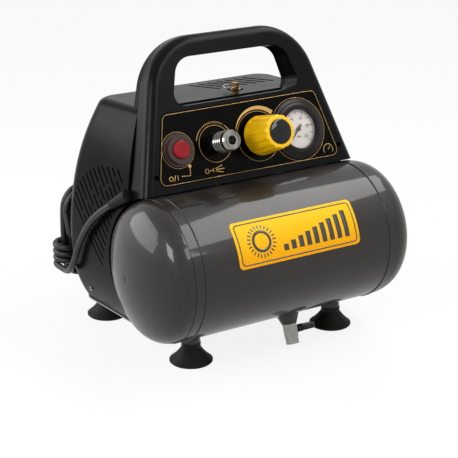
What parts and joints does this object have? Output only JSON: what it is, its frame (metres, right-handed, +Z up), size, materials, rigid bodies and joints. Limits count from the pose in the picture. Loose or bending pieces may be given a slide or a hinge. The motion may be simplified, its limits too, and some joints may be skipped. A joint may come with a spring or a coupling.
{
  "type": "portable air compressor",
  "caption": "Oil-free portable air compressor: grey tank on rubber feet, black hood with carrying handle, sloping control panel, cord hank and drain cock.",
  "frame": {"origin": "on the floor, under the middle of the machine measured without its cord", "axes": "+X along the tank to the right, -Y towards the front with the controls, +Z up"},
  "size_m": [0.3494, 0.3166, 0.3491],
  "materials": {
    "black_gloss": "glossy black moulded plastic",
    "black_satin": "satin black moulded plastic",
    "tank_grey": "dark grey metallic paint",
    "label_yellow": "printed film",
    "rubber_black": "matt black",
    "steel_bright": "bright turned steel",
    "steel_grey": "plain steel",
    "button_red": "glossy red",
    "knob_yellow": "yellow moulded plastic",
    "cap_black": "glossy black dome",
    "dial_white": "white printed dial",
    "needle_black": "black",
    "lens_clear": "clear window",
    "brass": "turned brass",
    "ring_steel": "plated wire",
    "lever_black": "black moulded lever",
    "cast_alloy": "cast aluminium",
    "plastic_grey": "plain moulded plastic"
  },
  "bodies": {
    "machine": {"tank_shell": "tank_grey", "drain_boss": "tank_grey", "tank_head_right": "tank_grey", "tank_head_left": "tank_grey", "tank_label": "label_yellow", "rubber_feet": "rubber_black", "foot_pegs": "steel_grey", "base_plate": "steel_grey", "front_shell": "black_satin", "control_panel": "black_satin", "rear_cover": "black_gloss", "button_guard": "black_satin", "button_spring": "steel_bright", "pressure_switch": "plastic_grey", "coupler_body": "steel_bright", "regulator_body": "brass", "regulator_nut": "black_satin", "gauge_case": "black_satin", "gauge_dial": "dial_white", "gauge_lens": "lens_clear", "gauge_bezel": "black_satin", "manifold": "cast_alloy", "tank_riser": "brass", "relief_body": "brass", "drain_body": "brass", "motor_stator": "steel_grey", "motor_shield": "cast_alloy", "shaft_bearings": "steel_bright", "crankcase": "cast_alloy", "rubber_dampers": "rubber_black", "capacitor": "plastic_grey", "cylinder": "cast_alloy", "valve_plate": "steel_grey", "cylinder_head": "cast_alloy", "head_bolts": "steel_bright", "intake_filter": "plastic_grey", "check_valve": "brass", "delivery_tube": "brass", "cord_gland": "rubber_black", "cord_hank": "rubber_black", "cord_run": "rubber_black", "cord_peg": "black_satin", "power_plug": "rubber_black", "shell_screws": "steel_grey"},
    "switch_button": {"switch_button": "button_red"},
    "coupler_sleeve": {"coupler_sleeve": "steel_bright"},
    "regulator_knob": {"regulator_knob": "knob_yellow", "knob_cap": "cap_black"},
    "gauge_needle": {"gauge_needle": "needle_black"},
    "relief_stem": {"relief_stem": "brass"},
    "relief_ring": {"relief_ring": "ring_steel"},
    "drain_lever": {"drain_lever": "lever_black", "drain_ball": "brass"},
    "rotor": {"motor_rotor": "steel_grey", "motor_shaft": "steel_bright", "eccentric": "steel_grey", "cooling_fan": "plastic_grey"},
    "connecting_rod": {"connecting_rod": "cast_alloy"},
    "piston": {"piston": "cast_alloy", "piston_ring": "plastic_grey"}
  },
  "joints": [
    {"name": "switch_press", "type": "slide", "parent": "machine", "child": "switch_button", "axis": [0, 0.9397, -0.342], "range_m": [0, 0.004], "stiffness_N_per_m": 900, "deforming": ["button_spring"]},
    {"name": "sleeve_pull_back", "type": "slide", "parent": "machine", "child": "coupler_sleeve", "axis": [0, 0.9397, -0.342], "range_m": [0, 0.004], "stiffness_N_per_m": 1500},
    {"name": "regulator_turn", "type": "hinge", "parent": "machine", "child": "regulator_knob", "pos_m": [0.0155, -0.04389, 0.2353], "axis": [0, -0.9397, 0.342], "range_deg": [-540, 540]},
    {"name": "needle_sweep", "type": "hinge", "parent": "machine", "child": "gauge_needle", "pos_m": [0.0698, -0.04389, 0.2353], "axis": [0, -0.9397, 0.342], "range_deg": [-270, 0], "stiffness_Nm_per_rad": 0.0005},
    {"name": "relief_lift", "type": "slide", "parent": "machine", "child": "relief_stem", "axis": [0, 0, 1], "range_m": [0, 0.003], "stiffness_N_per_m": 4000},
    {"name": "relief_ring_swing", "type": "hinge", "parent": "relief_stem", "child": "relief_ring", "pos_m": [0.028, 0.02325, 0.27837], "axis": [0, 1, 0], "range_deg": [0, 90]},
    {"name": "drain_turn", "type": "hinge", "parent": "machine", "child": "drain_lever", "pos_m": [0.018, -0.10844, 0.02064], "axis": [1, 0, 0], "range_deg": [0, 90]},
    {"name": "motor_spin", "type": "hinge", "parent": "machine", "child": "rotor", "pos_m": [0, 0.05925, 0.0888], "axis": [1, 0, 0], "continuous": true},
    {"name": "rod_swing", "type": "hinge", "parent": "rotor", "child": "connecting_rod", "pos_m": [0.075, 0.05925, 0.0968], "axis": [1, 0, 0], "continuous": true},
    {"name": "piston_stroke", "type": "slide", "parent": "machine", "child": "piston", "axis": [0, 0, 1], "range_m": [-0.016, 0]}
  ],
  "couplings": [
    {"joint": "rod_swing", "follows": "motor_spin", "ratio": -1}
  ]
}
